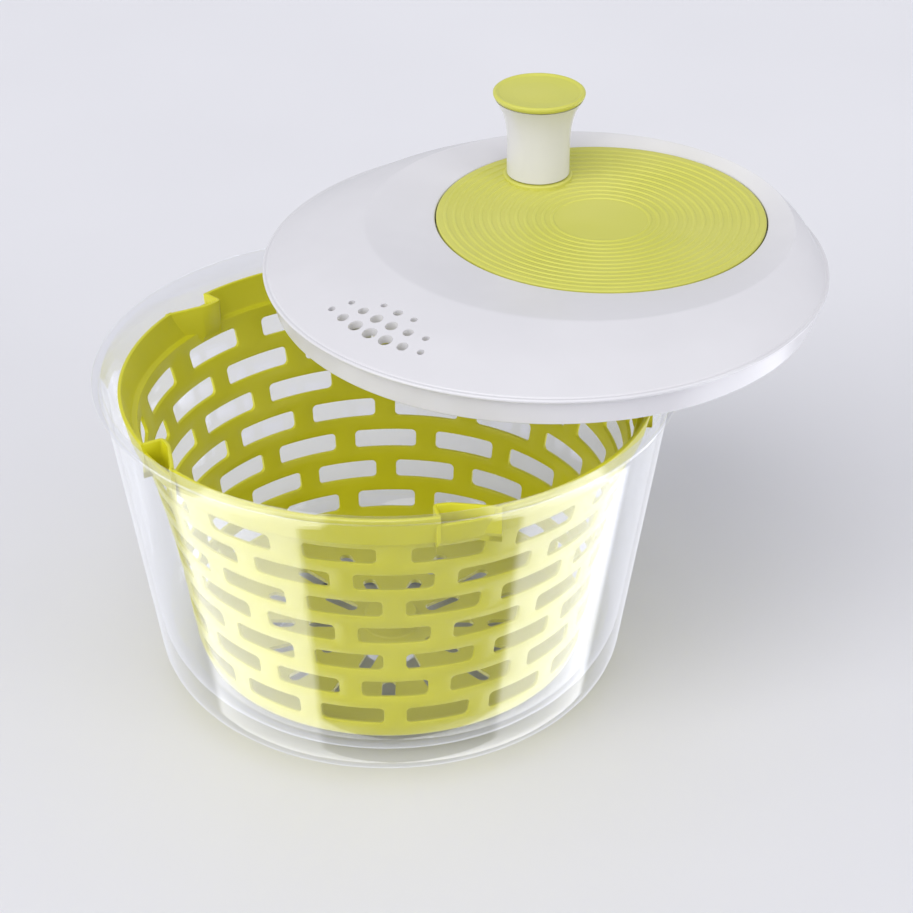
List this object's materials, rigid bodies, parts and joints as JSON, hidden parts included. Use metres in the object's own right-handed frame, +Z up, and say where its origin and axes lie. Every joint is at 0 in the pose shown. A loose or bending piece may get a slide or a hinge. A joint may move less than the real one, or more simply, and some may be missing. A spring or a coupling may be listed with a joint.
{
  "type": "salad spinner",
  "caption": "Round salad spinner: clear bowl, slotted basket and a white lid laid aside on the rim, with a geared crank disc, a turning knob and a pouring sieve.",
  "frame": {"origin": "centre of the pad under the bowl, on the surface it stands on", "axes": "+Z up along the bowl's axis, -Y towards the front, the lid laid aside towards +X +Y"},
  "size_m": [0.3205, 0.2895, 0.229],
  "materials": {
    "bowl_clear": "gloss",
    "grip_rubber": "matte",
    "steel": "satin",
    "acetal": "satin",
    "basket_lime": "gloss",
    "lid_white": "gloss",
    "crank_lime": "satin",
    "gear_white": "satin",
    "rotor_white": "satin"
  },
  "bodies": {
    "bowl": {"bowl": "bowl_clear", "base_grip_ring": "grip_rubber", "pivot_pin": "steel"},
    "basket_seat": {"basket_bearing": "acetal"},
    "basket": {"basket": "basket_lime"},
    "thrust_ball": {"thrust_ball": "steel"},
    "lid": {"lid_shell": "lid_white", "gear_housing": "lid_white", "housing_screws": "steel", "shaft_bush": "acetal", "crank_axle": "steel", "hub_retainer": "acetal", "retainer_screws": "steel"},
    "crank": {"crank_disc": "crank_lime", "disc_bush": "acetal", "ring_gear": "gear_white", "ring_gear_screws": "steel", "knob_spindle": "steel", "knob_clip": "steel"},
    "knob": {"knob_sleeve": "lid_white", "knob_cap": "crank_lime"},
    "drive": {"drive_pinion": "gear_white", "drive_shaft": "steel", "rotor_washer": "acetal", "drive_rotor": "rotor_white", "rotor_screw": "steel"}
  },
  "joints": [
    {"name": "basket_lift", "type": "slide", "parent": "bowl", "child": "basket_seat", "axis": [0, 0, 1], "range_m": [0, 0.2]},
    {"name": "basket_spin", "type": "hinge", "parent": "basket_seat", "child": "basket", "pos_m": [0, 0, 0], "axis": [0, 0, 1], "continuous": true},
    {"name": "lid_carry", "type": "hinge", "parent": "basket_seat", "child": "thrust_ball", "pos_m": [0.06487, 0.05458, 0.1518], "axis": [-0.4824, 0.8759, 0], "range_deg": [-140.22, 0]},
    {"name": "lid_level", "type": "hinge", "parent": "thrust_ball", "child": "lid", "pos_m": [0.09486, 0.0711, 0.1803], "axis": [-0.4824, 0.8759, 0], "range_deg": [0, 140.22]},
    {"name": "crank_turn", "type": "hinge", "parent": "lid", "child": "crank", "pos_m": [0.09486, 0.0711, 0.1798], "axis": [0, 0, 1], "continuous": true},
    {"name": "knob_turn", "type": "hinge", "parent": "crank", "child": "knob", "pos_m": [0.06769, 0.11543, 0.1798], "axis": [0, 0, 1], "continuous": true},
    {"name": "rotor_spin", "type": "hinge", "parent": "lid", "child": "drive", "pos_m": [0.069, 0.038, 0.1798], "axis": [0, 0, 1], "continuous": true}
  ],
  "couplings": [
    {"joint": "basket_spin", "follows": "crank_turn", "ratio": 3.8},
    {"joint": "rotor_spin", "follows": "crank_turn", "ratio": 3.8},
    {"joint": "lid_level", "follows": "lid_carry", "ratio": -1}
  ]
}
